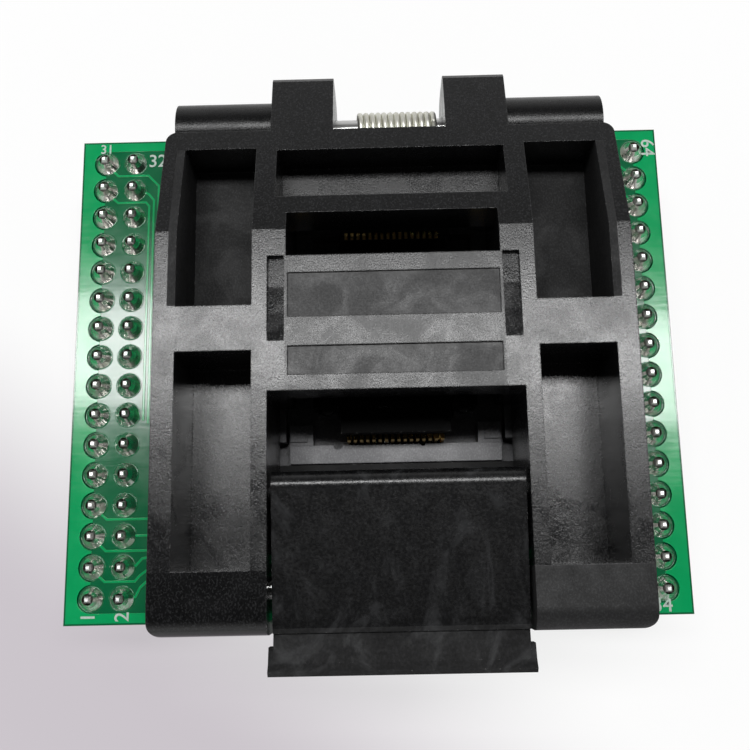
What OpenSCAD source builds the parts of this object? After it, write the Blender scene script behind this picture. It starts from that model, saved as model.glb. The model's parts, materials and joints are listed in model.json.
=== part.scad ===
// Zero insertion force socket for a 64 lead quad flat pack, on its adapter board.
// Millimetres, +Z up. Origin: middle of the 64 pin grid, on the plane of the header undersides.

/* [Board] */
// Board beyond the outer pins, at each side
board_margin = 2.205; // [2.0:0.005:3]
// Board depth
board_y = 42.3; // [41.6:0.1:46]
// Board thickness
board_t = 1.6; // [1.4:0.1:2.0]
// Radius of the header pin holes in the board
header_hole_r = 0.5; // [0.48:0.01:0.55]
// Radius of the contact holes in the board
contact_hole_r = 0.25; // [0.22:0.01:0.28]

/* [Headers] */
// Pitch of the header pins
pitch = 2.54; // [2.54:0.01:2.54]
// Pins in one column of a header
pin_rows = 16; // [16:1:16]
// Least room between the hinge barrels and the solder of the inner pins
solder_room = 0.8; // [0.6:0.05:0.85]
// Height of a header body
header_h = 2.54; // [2.5:0.01:2.6]
// Side of a square pin
pin_side = 0.64; // [0.6:0.01:0.64]
// Pin length below the header body
pin_below = 6.0; // [5.5:0.1:8]
// Pin length above the board
pin_above = 1.3; // [1.1:0.1:1.6]
// Foot radius of a solder fillet
solder_r = 1.0; // [0.8:0.01:1.05]
// Height of a solder fillet
solder_h = 1.0; // [0.7:0.05:1.05]

/* [Socket base] */
// Socket centre from the board centre, in X and in Y
socket_off = 1.778; // [1.7:0.001:1.85]
// How far the lid stands over the base frame at each side
lid_over = 1.0; // [0.8:0.05:1.3]
// Height of the base frame
base_h = 4.6; // [4.5:0.05:4.65]
// Radius of the hinge barrels
barrel_r = 2.5; // [2.4:0.05:2.6]
// Play between a hinge lug and a hinge barrel, along the shaft
lug_play = 0.2; // [0.1:0.01:0.3]
// Reach of the catch in front of the base frame
catch_reach = 3.0; // [2.8:0.05:3.2]
// Radius of a locating peg
peg_r = 0.75; // [0.6:0.05:0.9]

/* [Contacts] */
// Pitch of the contacts
contact_pitch = 0.5; // [0.5:0.01:0.5]
// Contacts on one side
contact_n = 16; // [16:1:16]
// Thickness of a contact blade
blade_t = 0.25; // [0.2:0.01:0.26]
// Width of a slot in the comb
slot_w = 0.33; // [0.31:0.01:0.35]
// Outer edge of the contact loops from the socket centre
loop_r = 8.8; // [8.78:0.01:8.82]
// Top of the contact loops above the board
loop_top = 4.5; // [4.45:0.01:4.52]
// Height of the bars round the contacts
bar_h = 3.0; // [2.9:0.05:3.05]

/* [Lid] */
// Half width of the lid
lid_x = 17.4; // [17.3:0.05:17.6]
// Underside of the lid above the board
lid_z0 = 5.0; // [4.95:0.01:5.05]
// Flat top of the lid above the board
lid_top = 13.5; // [13.4:0.05:13.6]
// Outer wall thickness of the lid
lid_wall = 1.6; // [1.4:0.05:1.8]
// Inner side of the wing pockets from the middle
pocket_in = 10.3; // [10.25:0.05:10.5]
// Half width of the latch bay
bay_x = 9.17; // [9.15:0.01:9.25]
// Floor of the front wing pockets above the board
front_floor = 6.5; // [6.3:0.05:6.7]
// Floor of the rear wing pockets above the board
rear_floor = 6.8; // [6.6:0.05:7.0]
// Corner radius of the lid seen from above
corner_r = 0.9; // [0.7:0.05:1.2]
// Inner side of a hinge lug from the middle
lug_in = 4.4; // [4.3:0.05:4.5]
// Width of a hinge lug
lug_w = 4.9; // [4.7:0.05:4.95]

/* [Hinge] */
// Hinge axis behind the socket centre
hinge_y = 16.87; // [16.8:0.01:16.95]
// Hinge axis above the board
hinge_z = 6.0; // [5.95:0.01:6.05]
// Radius of the hinge shaft
shaft_r = 1.0; // [0.9:0.01:1.02]
// Radial play of the lid on the hinge shaft
hinge_play = 0.06; // [0.04:0.01:0.09]
// Wire radius of the lid spring
wire_r = 0.25; // [0.22:0.01:0.25]
// Turns of the lid spring
spring_turns = 12; // [10:1:12]

/* [Latch] */
// Half width of the latch
latch_x = 8.95; // [8.8:0.01:9.0]
// Latch axis in front of the socket centre
latch_y = 19.98; // [19.9:0.01:20.05]
// Latch axis above the board
latch_z = 8.5; // [8.4:0.01:8.6]
// Radius of the latch shaft
latch_shaft_r = 0.8; // [0.7:0.01:0.85]
// Reach of the latch lip in front of its arm
lip_reach = 2.68; // [2.3:0.01:2.9]
// Play between the stored tooth and the catch
tooth_play = 0.1; // [0.08:0.01:0.15]
// Half width of the latch tooth
tooth_x = 5.0; // [4:0.1:6]

/* [Pusher] */
// Play between the pressure plate and the lid's cheeks
plate_play = 2.3; // [2.2:0.05:2.5]
// Underside of the pressing skirt above the board
skirt_z = 4.0; // [3.98:0.01:4.1]
// Radius of the pusher shaft
pusher_shaft_r = 0.8; // [0.7:0.01:0.8]
// Lift of the pressure plate
pusher_lift = 1.0; // [0.8:0.05:1.0]

/* [Hidden] */
board_top = header_h + board_t;
lug_out = lug_in + lug_w;
barrel_in = lug_out + lug_play;
barrel_out = lid_x - 0.1;
base_x = lid_x - lid_over;
base_rear = hinge_y - 1.75;
header_span = ceil(2 * (socket_off + barrel_out + solder_room + solder_r) / (pitch / 2) + 2) * pitch / 2;
board_x = header_span + pitch + 2 * board_margin;
catch_front = latch_y + 0.52;
base_front = catch_front - catch_reach;
arm_in = catch_front + 1.6;
arm_out = arm_in + 1.1;
lip_front = arm_out + lip_reach;
pocket_out = lid_x - lid_wall;
block_x = 10.6;
well_x = block_x + 0.05;
ring_in = loop_r + 0.1;
ring_out = 10.4;
block_slab = 1.2;
bar_x = 8.6;
post_w = 1.9;
post_r = 1.4;
comb_t = contact_n * contact_pitch / 2 + 0.3;
tail_outer = 8.2;
tail_inner = 6.6;
tail_w = 0.24;
tail_below = 0.9;
rest_play = 0.02;
coil_r = shaft_r + wire_r + 0.08;
coil_pitch = wire_r * 2 + 0.02;
coil_x0 = -2.53;
coil_x1 = coil_x0 + spring_turns * coil_pitch;
lug_rear = 3.5;
lug_slope = tan(17);
slope_foot_y = hinge_y - 1.9;
slope_foot_z = 10.7;
ridge_y = slope_foot_y - (lid_top - slope_foot_z) / lug_slope;
crease_y = -2.61;
front_edge = arm_out - 0.12;
front_drop = 0.25;
front_r = 1.6;
block_rear = 3.77;
block_front = 6.21;
label_x = bay_x - 1.27;
window_x = label_x - 0.1;
strip_in = label_x + 0.05;
panel_x = label_x - 0.2;
plate_x = label_x - plate_play;
skirt_x = 6.4;
tongue_front = loop_r - 0.4;
tongue_rear = plate_x + 1.8;
tongue_z = loop_top + 0.7;
boss_x = plate_x - 0.45;
label_z0 = 10;
pusher_y = -1.22;
pusher_z = 9.0;
ear_x0 = plate_x - 1.8;
ear_x1 = plate_x - 0.4;
spring_post_x = plate_x - 3.8;
latch_panel_z = 12.9;
latch_rear = 11.8;
tooth_bottom = 1.8;
tooth_top = 2.8;
catch_z0 = 3.0;
catch_z1 = 4.4;
spring_seat_z = front_floor;
latch_under = 10.9;

// A box between two corners.
module box(a, b) {
  translate(a) cube(b - a);
}

// A cylinder along X between two X values.
module x_rod(r, x0, x1, y, z) {
  translate([x0, y, z]) rotate([0, 90, 0]) cylinder(h = x1 - x0, r = r, $fn = 48);
}

// A flat shape given in Y and Z, drawn out along X.
module yz_prism(x0, x1) {
  translate([x0, 0, 0]) rotate([90, 0, 90]) linear_extrude(x1 - x0) children();
}

// Everything of the socket is drawn from its own centre, on the top of the board.
module at_socket() {
  translate([socket_off, socket_off, board_top]) children();
}

// The same thing at the left and at the right.
module both_sides() {
  children();
  mirror([1, 0, 0]) children();
}

// Rows of one header, from the middle.
function row_y(i) = (i - (pin_rows - 1) / 2) * pitch;

// Distance of a contact from the middle of its side.
function contact_t(i) = (i - (contact_n - 1) / 2) * contact_pitch;

// Where the tail of a contact goes through the board: outer and inner row by turns.
function tail_at(i) = i % 2 == 0 ? tail_outer : tail_inner;

// A coil spring along Z from z = 0.
module coil(mean_r, w, turns, step, seg, sides) {
  n = turns * seg;
  pts = [for (i = [0 : n], j = [0 : sides - 1])
    let (a = 360 * i / seg, b = 360 * j / sides, r = mean_r + w * cos(b))
    [r * cos(a), r * sin(a), step * i / seg + w * sin(b)]];
  skin = [for (i = [0 : n - 1], j = [0 : sides - 1])
    let (k = (j + 1) % sides)
    [i * sides + j, i * sides + k, (i + 1) * sides + k, (i + 1) * sides + j]];
  cap0 = [[for (j = [0 : sides - 1]) sides - 1 - j]];
  cap1 = [[for (j = [0 : sides - 1]) n * sides + j]];
  polyhedron(points = pts, faces = concat(skin, cap0, cap1), convexity = 10);
}

module circuit_board() {
  color("darkgreen") difference() {
    translate([-board_x / 2, -board_y / 2, header_h]) cube([board_x, board_y, board_t]);
    for (s = [-1, 1], c = [-0.5, 0.5], i = [0 : pin_rows - 1]) {
      translate([s * header_span / 2 + c * pitch, row_y(i), header_h - 1])
        cylinder(h = board_t + 2, r = header_hole_r, $fn = 16);
    }
    at_socket() for (q = [0 : 3], i = [0 : contact_n - 1]) {
      rotate([0, 0, 90 * q]) translate([contact_t(i), -tail_at(i), -board_t - 1])
        cylinder(h = board_t + 2, r = contact_hole_r, $fn = 16);
    }
    at_socket() for (s = [-1, 1]) {
      translate([s * 13.5, s * 13.5, -board_t - 1])
        cylinder(h = board_t + 2, r = peg_r + 0.03, $fn = 32);
    }
  }
}

// A header body: one moulded strip, notched between its pins.
module header_body() {
  difference() {
    translate([-pitch, -pin_rows * pitch / 2, 0]) cube([2 * pitch, pin_rows * pitch, header_h]);
    for (s = [-1, 1], i = [1 : pin_rows - 1]) {
      translate([s * pitch, (i - pin_rows / 2) * pitch, header_h / 2])
        rotate([0, 0, 45]) cube([0.8, 0.8, header_h + 1], center = true);
    }
    for (c = [-0.5, 0.5], i = [0 : pin_rows - 1]) {
      translate([c * pitch, row_y(i), header_h / 2])
        cube([pin_side + 0.02, pin_side + 0.02, header_h + 1], center = true);
    }
  }
}

// The side view of a pin: a strip with both ends chamfered.
module pin_profile() {
  h = pin_side / 2;
  z0 = -pin_below;
  z1 = board_top + pin_above;
  polygon([[-h * 0.4, z0], [h * 0.4, z0], [h, z0 + 0.5], [h, z1 - 0.4],
    [h * 0.4, z1], [-h * 0.4, z1], [-h, z1 - 0.4], [-h, z0 + 0.5]]);
}

// Both columns of pins: walls along Y cut by walls along X leave the square pins.
module header_pins() {
  half_y = pin_rows * pitch / 2;
  intersection() {
    for (c = [-0.5, 0.5]) {
      translate([c * pitch, half_y, 0]) rotate([90, 0, 0]) linear_extrude(2 * half_y) pin_profile();
    }
    for (i = [0 : pin_rows - 1]) {
      translate([0, row_y(i), 0]) yz_prism(-pitch, pitch) pin_profile();
    }
  }
}

// Solder fillets on the upper side of the board, one round each pin.
module solder_fillets() {
  r0 = pin_side * 0.72;
  for (c = [-0.5, 0.5], i = [0 : pin_rows - 1]) {
    translate([c * pitch, row_y(i), board_top])
      rotate_extrude($fn = 20)
        polygon([[r0, 0], [solder_r, 0], [r0 + 0.22, solder_h * 0.5], [r0, solder_h]]);
  }
}

module header_body_left() {
  color("black") translate([-header_span / 2, 0, 0]) header_body();
}

module header_body_right() {
  color("black") translate([header_span / 2, 0, 0]) header_body();
}

module header_pins_left() {
  color("gold") translate([-header_span / 2, 0, 0]) header_pins();
}

module header_pins_right() {
  color("gold") translate([header_span / 2, 0, 0]) header_pins();
}

module solder_left() {
  color("silver") translate([-header_span / 2, 0, 0]) solder_fillets();
}

module solder_right() {
  color("silver") translate([header_span / 2, 0, 0]) solder_fillets();
}

// Solder cones round the contact tails, on the underside of the board.
module contact_solder() {
  color("silver") at_socket() for (q = [0 : 3], i = [0 : contact_n - 1]) {
    rotate([0, 0, 90 * q]) translate([contact_t(i), -tail_at(i), -board_t])
      rotate_extrude($fn = 16) polygon([[0.18, 0], [0.42, 0], [0.18, -0.6]]);
  }
}

// The moulded base: frame, hinge barrels on their webs, catch and locating pegs.
module socket_base() {
  color("dimgray") at_socket() difference() {
    union() {
      box([-base_x, -base_front, 0], [base_x, base_rear, base_h]);
      box([-tooth_x - 2, -catch_front, catch_z0], [tooth_x + 2, -base_front + 1, catch_z1]);
      both_sides() x_rod(barrel_r, barrel_in, barrel_out, hinge_y, hinge_z);
      both_sides() box([barrel_in, hinge_y - barrel_r + 0.03, 0],
        [barrel_out, hinge_y + barrel_r - 0.07, hinge_z]);
      for (s = [-1, 1]) {
        translate([s * 13.5, s * 13.5, -board_t - 0.1]) cylinder(h = 2.5, r = peg_r, $fn = 32);
      }
    }
    box([-well_x, -well_x, -0.5], [well_x, well_x, base_h + 1]);
    x_rod(shaft_r + rest_play, -barrel_out - 1, barrel_out + 1, hinge_y, hinge_z);
    both_sides() x_rod(5.0, lug_in - 0.3, barrel_in, hinge_y, hinge_z);
    box([coil_x0 - 0.5, hinge_y - 4.0, hinge_z - coil_r - wire_r - 0.04],
      [coil_x0 + 0.5, base_rear + 1, base_h + 1]);
    both_sides() box([base_x - 3, -14, base_h - 0.8], [base_x - 1.2, 10, base_h + 1]);
  }
}

// One slot of the comb, seen in its own side.
module comb_slots() {
  for (q = [0 : 3], i = [0 : contact_n - 1]) {
    rotate([0, 0, 90 * q]) translate([contact_t(i) - slot_w / 2, 0, 0])
      box([0, -ring_in, -0.5], [slot_w, -tail_inner + 0.22, bar_h + 1]);
  }
}

// The moulded block that holds the contacts: slab, four outer bars, four combs, corner posts.
module contact_block() {
  color("dimgray") at_socket() difference() {
    union() {
      box([-block_x, -block_x, 0], [block_x, block_x, block_slab]);
      for (q = [0 : 3]) {
        rotate([0, 0, 90 * q]) {
          box([-bar_x, -ring_out, 0], [bar_x, -ring_in, bar_h]);
          box([-comb_t, -7.8, 0.5], [comb_t, -6.45, bar_h]);
        }
      }
      both_sides() for (rear = [0, 1]) mirror([0, rear, 0]) {
        box([bar_x - post_w, -bar_x - 0.4, 0.5], [bar_x, -bar_x + post_r, bar_h - 0.2]);
        intersection() {
          translate([bar_x, -bar_x, 0.5]) cylinder(h = bar_h - 0.6, r = post_r, $fn = 32);
          box([0, -bar_x, 0], [bar_x, 0, bar_h]);
        }
      }
    }
    box([-5, -5, -1], [5, 5, bar_h + 1]);
    comb_slots();
    for (q = [0 : 3]) {
      rotate([0, 0, 90 * q]) {
        translate([-4.7, -ring_in, block_slab]) cylinder(h = bar_h, r = 0.35, $fn = 24);
        translate([2.2, -ring_in, block_slab]) cylinder(h = bar_h, r = 0.2, $fn = 24);
      }
    }
  }
}

// The seat under the package, with its four corner guides.
module package_seat() {
  color("black") at_socket() difference() {
    union() {
      box([-4.95, -4.95, 0.05], [4.95, 4.95, 2.6]);
      for (q = [0 : 3]) {
        rotate([0, 0, 90 * q]) {
          box([4.15, 4.15, block_slab + 0.02], [6.0, 6.0, 2.6]);
          box([4.4, 5.12, 1.5], [6.0, 6.0, 3.8]);
          box([5.12, 4.4, 1.5], [6.0, 6.0, 3.8]);
        }
      }
    }
    translate([0, 0, 1.6]) cylinder(h = 3, r = 2.2, $fn = 48);
  }
}

// The stamped outline of one contact: tail, root, outer loop, arm and tip.
module contact_outline(tail_r) {
  a = tail_r - tail_w / 2;
  b = tail_r + tail_w / 2;
  low = -board_t - tail_below;
  inner = tail_inner - tail_w / 2;
  foot = tail_r == tail_inner ? [[a, low], [b, low], [b, 0.35]]
    : [[inner, 0.35], [a, 0.35], [a, low], [b, low], [b, 0.35]];
  head = [[loop_r, 0.35], [loop_r, loop_top - 0.55], [loop_r - 0.1, loop_top - 0.2],
    [loop_r - 0.4, loop_top], [loop_r - 0.75, loop_top - 0.05], [5.7, 3.5], [5.6, 3.3],
    [5.75, 3.15], [6.0, 3.2], [loop_r - 0.75, loop_top - 0.45], [loop_r - 0.5, loop_top - 0.42],
    [loop_r - 0.38, loop_top - 0.65], [loop_r - 0.38, 1.3], [inner, 1.3]];
  polygon(concat(foot, head));
}

// Sixteen contacts of one side, their tails in two rows by turns.
module contact_row(quarter) {
  at_socket() rotate([0, 0, 90 * quarter]) for (i = [0 : contact_n - 1]) {
    translate([contact_t(i), 0, 0]) mirror([0, 1, 0])
      yz_prism(-blade_t / 2, blade_t / 2) contact_outline(tail_at(i));
  }
}

module contacts_front() {
  color("gold") contact_row(0);
}

module contacts_right() {
  color("gold") contact_row(1);
}

module contacts_rear() {
  color("gold") contact_row(2);
}

module contacts_left() {
  color("gold") contact_row(3);
}

module hinge_shaft() {
  color("silver") at_socket() x_rod(shaft_r, -barrel_out + 0.3, barrel_out - 0.3, hinge_y, hinge_z);
}

// The torsion spring round the shaft: one leg on the base, the other under the lid.
module lid_spring() {
  color("silver") at_socket() {
    translate([coil_x0, hinge_y, hinge_z]) rotate([0, 90, 0])
      coil(coil_r, wire_r, spring_turns, coil_pitch, 16, 8);
    translate([coil_x0, hinge_y - 3.4, hinge_z - coil_r]) rotate([-90, 0, 0])
      cylinder(h = 3.4, r = wire_r, $fn = 16);
    translate([coil_x1, hinge_y - 3.4, hinge_z + coil_r]) rotate([-90, 0, 0])
      cylinder(h = 3.4, r = wire_r, $fn = 16);
  }
}

// The lid seen from the side: rear slope, flat, long front plane and rounded front edge.
module lid_profile() {
  union() {
    polygon([[slope_foot_y, lid_z0], [slope_foot_y, slope_foot_z], [ridge_y, lid_top],
      [crease_y, lid_top], [-front_edge + front_r, lid_top - front_drop],
      [-front_edge + front_r, lid_top - front_drop - front_r],
      [-front_edge, lid_top - front_drop - front_r], [-front_edge, lid_z0]]);
    translate([-front_edge + front_r, lid_top - front_drop - front_r]) circle(r = front_r, $fn = 48);
  }
}

// The lid seen from above, with rounded corners.
module lid_plan() {
  w = lid_x - corner_r;
  y0 = -front_edge;
  y1 = slope_foot_y;
  union() {
    translate([-lid_x, y0 + corner_r]) square([2 * lid_x, y1 - y0 - 2 * corner_r]);
    translate([-w, y0]) square([2 * w, y1 - y0]);
    for (s = [-1, 1], y = [y0 + corner_r, y1 - corner_r]) {
      translate([s * w, y]) circle(r = corner_r, $fn = 32);
    }
  }
}

// One hinge lug seen from the side: heel round the axis, upright rear face, sloping top.
module lug_profile() {
  y0 = slope_foot_y - 1;
  y1 = hinge_y + lug_rear;
  zt = slope_foot_z - (y1 - slope_foot_y) * lug_slope;
  difference() {
    union() {
      translate([hinge_y, hinge_z]) circle(r = lug_rear, $fn = 64);
      polygon([[y0, hinge_z], [y1, hinge_z], [y1, zt - 0.5], [y1 - 0.15, zt - 0.15], [y1 - 0.5, zt + 0.15],
        [slope_foot_y, slope_foot_z], [y0, slope_foot_z]]);
    }
  }
}

// The moulded lid: wings with pockets, label block, windows, latch bay and hinge lugs.
module lid() {
  color("dimgray") at_socket() difference() {
    union() {
      difference() {
        intersection() {
          yz_prism(-lid_x, lid_x) lid_profile();
          linear_extrude(20) lid_plan();
        }
        box([-bay_x, -front_edge - 1, lid_z0 - 1], [bay_x, -block_front, lid_top + 1]);
        box([-label_x, -block_front - 0.1, lid_z0 - 1], [label_x, block_rear + 0.1, label_z0]);
      }
      both_sides() yz_prism(lug_in, lug_out) lug_profile();
      box([-bay_x - 0.3, -17.3, lid_z0], [bay_x + 0.3, -12.6, spring_seat_z]);
    }
    both_sides() box([pocket_in, 0.12, rear_floor], [pocket_out, 13.22, lid_top + 1]);
    both_sides() box([pocket_in, -18.63, front_floor], [pocket_out, -3.25, lid_top + 1]);
    box([-8.7, 8.7, 7.6], [8.7, 13.0, lid_top + 1]);
    box([-8.0, 8.9, lid_z0 - 1], [8.0, 12.8, 6.1]);
    yz_prism(-window_x, window_x) polygon([[7.0, lid_z0 - 0.5], [8.95, lid_z0 - 0.5],
      [8.95, lid_z0 + 0.3], [8.5, lid_z0 + 0.6], [7.0, 9.7]]);
    box([-window_x, block_rear, lid_z0 - 1], [window_x, 7.22, lid_top + 1]);
    both_sides() yz_prism(strip_in, bay_x) polygon([[block_rear, 13.0], [1.5, 13.08], [-0.5, 13.25],
      [crease_y, lid_top], [crease_y, lid_top + 1], [block_rear, lid_top + 1]]);
    box([-panel_x, -0.83, lid_top - 0.15], [panel_x, 2.47, lid_top + 1]);
    box([-panel_x, -5.08, lid_top - 0.2], [panel_x, -2.98, lid_top + 1]);
    both_sides() x_rod(barrel_r + 0.4, lug_out + 0.1, lid_x + 1, hinge_y, hinge_z);
    x_rod(shaft_r + hinge_play, -lug_out - 1, lug_out + 1, hinge_y, hinge_z);
    box([coil_x1 - 0.45, 13.1, lid_z0 - 1], [coil_x1 + 0.45, 16, hinge_z + coil_r + wire_r + 0.04]);
    x_rod(latch_shaft_r + rest_play, -12.05, 12.05, -latch_y, latch_z);
    x_rod(pusher_shaft_r + rest_play, -9.8, 9.8, pusher_y, pusher_z);
    both_sides() box([ear_x0 - 0.2, pusher_y - 2.0, label_z0 - 0.1],
      [ear_x1 + 0.2, pusher_y + 2.0, label_z0 + 1.9]);
    for (sx = [-1, 1], y = [-4.4, 1.96]) {
      translate([sx * spring_post_x, y, label_z0 - 0.1]) cylinder(h = 1.6, r = 1.3, $fn = 32);
    }
  }
}

// The plate that presses on the leads: flange, skirt, a tongue over the contacts, bosses,
// and ears with a long hole.
module pressure_plate() {
  color("black") at_socket() difference() {
    union() {
      box([-plate_x, -plate_x, 6], [plate_x, plate_x, 8]);
      box([-skirt_x, -skirt_x, skirt_z], [skirt_x, skirt_x, 6.5]);
      box([-comb_t, -tongue_front, tongue_z], [comb_t, tongue_rear, tongue_z + 1]);
      both_sides() box([boss_x - 0.75, -plate_x - 1.7, 5.6], [boss_x + 0.75, -plate_x + 0.5, 8]);
      both_sides() translate([boss_x, -plate_x - 1.1, 7]) cylinder(h = 1.5, r = 0.55, $fn = 32);
      both_sides() box([ear_x0, pusher_y - 1.8, 7], [ear_x1, pusher_y + 1.8, 10.7]);
    }
    box([-skirt_x + 1.1, -skirt_x + 1.1, skirt_z - 1], [skirt_x - 1.1, skirt_x - 1.1, 6.8]);
    x_rod(pusher_shaft_r + 0.04, -8, 8, pusher_y, pusher_z);
    box([-8, pusher_y - pusher_shaft_r - 0.04, pusher_z - pusher_lift],
      [8, pusher_y + pusher_shaft_r + 0.04, pusher_z]);
    x_rod(pusher_shaft_r + 0.04, -8, 8, pusher_y, pusher_z - pusher_lift);
  }
}

module pusher_shaft() {
  color("silver") at_socket() x_rod(pusher_shaft_r, -9.7, 9.7, pusher_y, pusher_z);
}

// Four small springs between the label block and the pressure plate.
module pusher_springs() {
  color("silver") at_socket() for (sx = [-1, 1], y = [-4.4, 1.96]) {
    translate([sx * spring_post_x, y, 8.2]) coil(0.85, 0.16, 4, 0.78, 12, 6);
  }
}

// The latch seen from the side: finger plate, hub round its shaft.
module latch_panel() {
  r = 1.0;
  y0 = -latch_rear;
  union() {
    translate([y0 - r, latch_panel_z - r]) circle(r = r, $fn = 48);
    polygon([[y0, latch_under], [y0, latch_panel_z - r], [y0 - r, latch_panel_z - r],
      [y0 - r, latch_panel_z], [-arm_in, 11.75], [-arm_out + 0.2, 11.45], [-arm_out + 0.2, 9.9],
      [-latch_y + 1.6, 9.9], [-latch_y + 2.6, latch_under]]);
    translate([-latch_y, latch_z]) circle(r = 1.75, $fn = 48);
    polygon([[-latch_y - 1.75, latch_z], [-latch_y + 1.75, latch_z],
      [-latch_y + 1.75, 10.5], [-latch_y - 1.75, 10.5]]);
  }
}

// The front lip under the finger plate, a little hollow on top.
module latch_lip(back) {
  polygon([[back, 10.0], [back, 11.05], [-arm_out - 1.8, 11.3], [-lip_front + 0.3, 11.7],
    [-lip_front, 11.45], [-lip_front, 10.6], [-lip_front + 0.4, 10.2]]);
}

// The arm that hangs in front of the base, with the tooth that goes under the catch.
module latch_arm() {
  tip = catch_front + tooth_play;
  polygon([[-arm_out, 10.6], [-arm_in, 10.6], [-arm_in, tooth_top], [-tip, tooth_top],
    [-tip, tooth_top - 0.4], [-tip - 0.5, tooth_bottom], [-arm_out, tooth_bottom]]);
}

// The moulded latch: finger plate, lip, arm with tooth, hub bored for its shaft.
module latch() {
  color("black") at_socket() difference() {
    union() {
      yz_prism(-latch_x, latch_x) latch_panel();
      yz_prism(-latch_x, latch_x) latch_lip(-arm_out + 0.4);
      yz_prism(-latch_x - 0.35, latch_x + 0.35) latch_lip(-arm_out - 0.75);
      yz_prism(-tooth_x, tooth_x) latch_arm();
    }
    x_rod(latch_shaft_r + 0.05, -latch_x - 1, latch_x + 1, -latch_y, latch_z);
  }
}

module latch_shaft() {
  color("silver") at_socket() x_rod(latch_shaft_r, -12, 12, -latch_y, latch_z);
}

// Two springs that push the rear of the latch up.
module latch_springs() {
  color("silver") at_socket() for (sx = [-1, 1]) {
    translate([sx * 5, -14.8, spring_seat_z + 0.2]) coil(1.1, 0.18, 5, 0.8, 12, 6);
  }
}

circuit_board();
header_body_left();
header_body_right();
header_pins_left();
header_pins_right();
solder_left();
solder_right();
contact_solder();
socket_base();
contact_block();
package_seat();
contacts_front();
contacts_rear();
contacts_left();
contacts_right();
hinge_shaft();
lid_spring();
lid();
pressure_plate();
pusher_shaft();
pusher_springs();
latch();
latch_shaft();
latch_springs();
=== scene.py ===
"""Looks of a zero insertion force socket with a hinged lid, on its adapter board.

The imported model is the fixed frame. This script dresses every part of it, adds what the solid
model leaves out (board print, tracks, pad rims, smooth springs) and sets up a plain studio.
Lengths are metres in the frame's axes, unless a name or a docstring says millimetres.
"""

import json
import logging
import math
from dataclasses import dataclass, field
from enum import Enum
from typing import Any, Dict, List, Optional, Sequence, Tuple

import bmesh
import bpy
from mathutils import Matrix, Vector

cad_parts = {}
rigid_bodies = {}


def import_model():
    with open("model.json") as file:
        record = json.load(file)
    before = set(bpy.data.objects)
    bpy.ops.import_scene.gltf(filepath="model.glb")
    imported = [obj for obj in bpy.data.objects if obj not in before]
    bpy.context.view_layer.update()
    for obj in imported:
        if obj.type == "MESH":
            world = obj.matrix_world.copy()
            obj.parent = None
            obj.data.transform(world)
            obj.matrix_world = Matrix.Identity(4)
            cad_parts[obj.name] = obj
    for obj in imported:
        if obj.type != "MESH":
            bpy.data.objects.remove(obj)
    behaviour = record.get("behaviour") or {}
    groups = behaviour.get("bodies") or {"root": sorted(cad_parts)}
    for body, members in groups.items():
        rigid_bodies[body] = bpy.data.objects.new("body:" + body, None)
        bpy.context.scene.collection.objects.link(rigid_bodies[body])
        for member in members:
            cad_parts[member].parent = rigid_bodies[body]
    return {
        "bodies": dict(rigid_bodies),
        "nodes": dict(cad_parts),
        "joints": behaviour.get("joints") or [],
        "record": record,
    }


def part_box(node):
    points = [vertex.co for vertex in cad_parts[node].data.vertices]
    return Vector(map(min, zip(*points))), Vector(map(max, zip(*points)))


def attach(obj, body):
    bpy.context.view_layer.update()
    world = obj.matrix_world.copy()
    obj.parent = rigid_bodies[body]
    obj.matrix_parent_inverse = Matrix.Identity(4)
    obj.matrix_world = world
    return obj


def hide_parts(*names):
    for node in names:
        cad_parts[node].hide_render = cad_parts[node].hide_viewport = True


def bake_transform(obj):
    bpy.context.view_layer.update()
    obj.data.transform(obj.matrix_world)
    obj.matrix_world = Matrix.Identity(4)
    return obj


LOG = logging.getLogger("socket")
MM = 0.001
Colour = Tuple[float, float, float]
Point = Tuple[float, float, float]
Pair = Tuple[float, float]


class Body(Enum):
    """The bodies that pieces ride on."""

    BASE = "base"
    LID = "lid"
    PUSHER = "pusher"
    LATCH = "latch"


class Slot(Enum):
    """The finish slots of the record."""

    MASK = "solder_mask"
    HEADER = "header_plastic"
    GOLD = "gold_plate"
    SOLDER = "solder"
    BASE = "base_plastic"
    BLOCK = "block_plastic"
    STEEL = "bright_steel"
    WIRE = "spring_wire"
    LID = "lid_plastic"
    LATCH = "latch_plastic"


# ---------------------------------------------------------------- shader maths


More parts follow.
